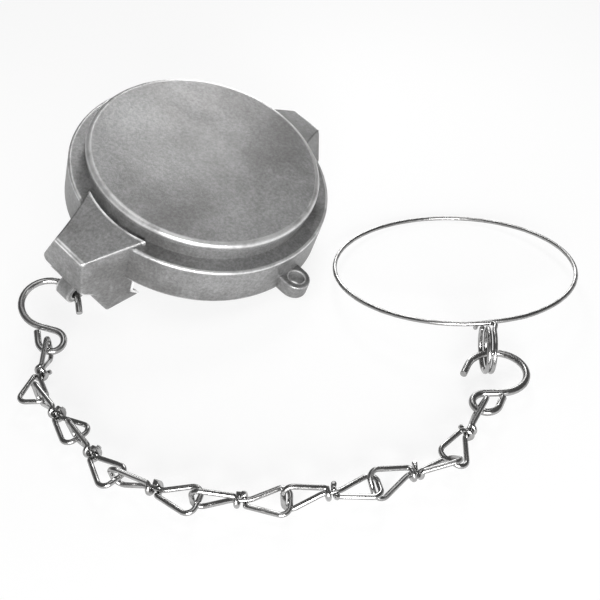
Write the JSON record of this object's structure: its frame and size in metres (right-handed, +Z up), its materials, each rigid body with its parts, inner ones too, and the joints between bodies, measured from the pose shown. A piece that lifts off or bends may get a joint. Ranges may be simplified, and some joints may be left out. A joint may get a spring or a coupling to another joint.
{
  "type": "blind cap",
  "caption": "Round cast blind cap with two claw lugs, an ear and a seal, on a knotted wire chain with S-hooks that ends in a coiled wire retaining ring.",
  "frame": {"origin": "centre of the footprint of everything as it lies, at the surface it lies on", "axes": "+Z up from that surface, +Y away from the viewer, +X to the right, where the ring lies"},
  "size_m": [0.2574, 0.2523, 0.0757],
  "materials": {
    "cast_aluminium": "matte cast, burnished on the edges",
    "seal_rubber": "matte black",
    "chain_wire": "bright zinc plated",
    "hook_wire": "bright zinc plated",
    "ring_wire": "bright spring wire"
  },
  "bodies": {
    "cap": {"cap_body": "cast_aluminium", "sealing_ring": "seal_rubber"},
    "cap_hook": {"s_hook_cap": "hook_wire"},
    "link_1": {"chain_link_1": "chain_wire"},
    "link_2": {"chain_link_2": "chain_wire"},
    "link_3": {"chain_link_3": "chain_wire"},
    "link_4": {"chain_link_4": "chain_wire"},
    "link_5": {"chain_link_5": "chain_wire"},
    "link_6": {"chain_link_6": "chain_wire"},
    "link_7": {"chain_link_7": "chain_wire"},
    "link_8": {"chain_link_8": "chain_wire"},
    "ring_hook": {"s_hook_ring": "hook_wire"},
    "ring": {"retaining_ring": "ring_wire"}
  },
  "joints": [
    {"name": "cap_hook_swing", "type": "hinge", "parent": "cap", "child": "cap_hook", "pos_m": [-0.10616, -0.00014, 0.01628], "axis": [0.7044, -0.608, -0.3662], "range_deg": [-40, 40]},
    {"name": "link_1_swing", "type": "hinge", "parent": "cap_hook", "child": "link_1", "pos_m": [-0.11213, -0.03146, 0.00534], "axis": [-0.9829, 0, 0.1841], "range_deg": [-45, 45]},
    {"name": "link_2_swing", "type": "hinge", "parent": "link_1", "child": "link_2", "pos_m": [-0.11213, -0.06411, 0.00609], "axis": [1, 0, 0], "range_deg": [-38, 18]},
    {"name": "link_3_swing", "type": "hinge", "parent": "link_2", "child": "link_3", "pos_m": [-0.08925, -0.08489, 0.00607], "axis": [0.7631, 0.6403, 0.0872], "range_deg": [-45, 18]},
    {"name": "link_4_swing", "type": "hinge", "parent": "link_3", "child": "link_4", "pos_m": [-0.07196, -0.10743, 0.00602], "axis": [-0.776, -0.6063, -0.1736], "range_deg": [-6, 45]},
    {"name": "link_5_swing", "type": "hinge", "parent": "link_4", "child": "link_5", "pos_m": [-0.04065, -0.11869, 0.00594], "axis": [-0.3635, -0.8996, -0.2419], "range_deg": [-6, 45]},
    {"name": "link_6_swing", "type": "hinge", "parent": "link_5", "child": "link_6", "pos_m": [-0.00741, -0.11935, 0.00598], "axis": [0.0427, 0.9772, 0.2079], "range_deg": [-45, 12]},
    {"name": "link_7_swing", "type": "hinge", "parent": "link_6", "child": "link_7", "pos_m": [0.0251, -0.11274, 0.00608], "axis": [0.1818, -0.9809, 0.0698], "range_deg": [-45, 15]},
    {"name": "link_8_swing", "type": "hinge", "parent": "link_7", "child": "link_8", "pos_m": [0.05557, -0.0996, 0.00493], "axis": [0.2932, -0.7077, 0.6428], "range_deg": [-45, 3]},
    {"name": "ring_hook_swing", "type": "hinge", "parent": "link_8", "child": "ring_hook", "pos_m": [0.0675, -0.07281, 0.00479], "axis": [-0.6088, 0.7932, 0.0122], "range_deg": [-35, 45]},
    {"name": "ring_swing", "type": "hinge", "parent": "ring_hook", "child": "ring", "pos_m": [0.07673, -0.03983, 0.00563], "axis": [-0.9986, 0.0523, 0], "range_deg": [-50, 50]}
  ]
}
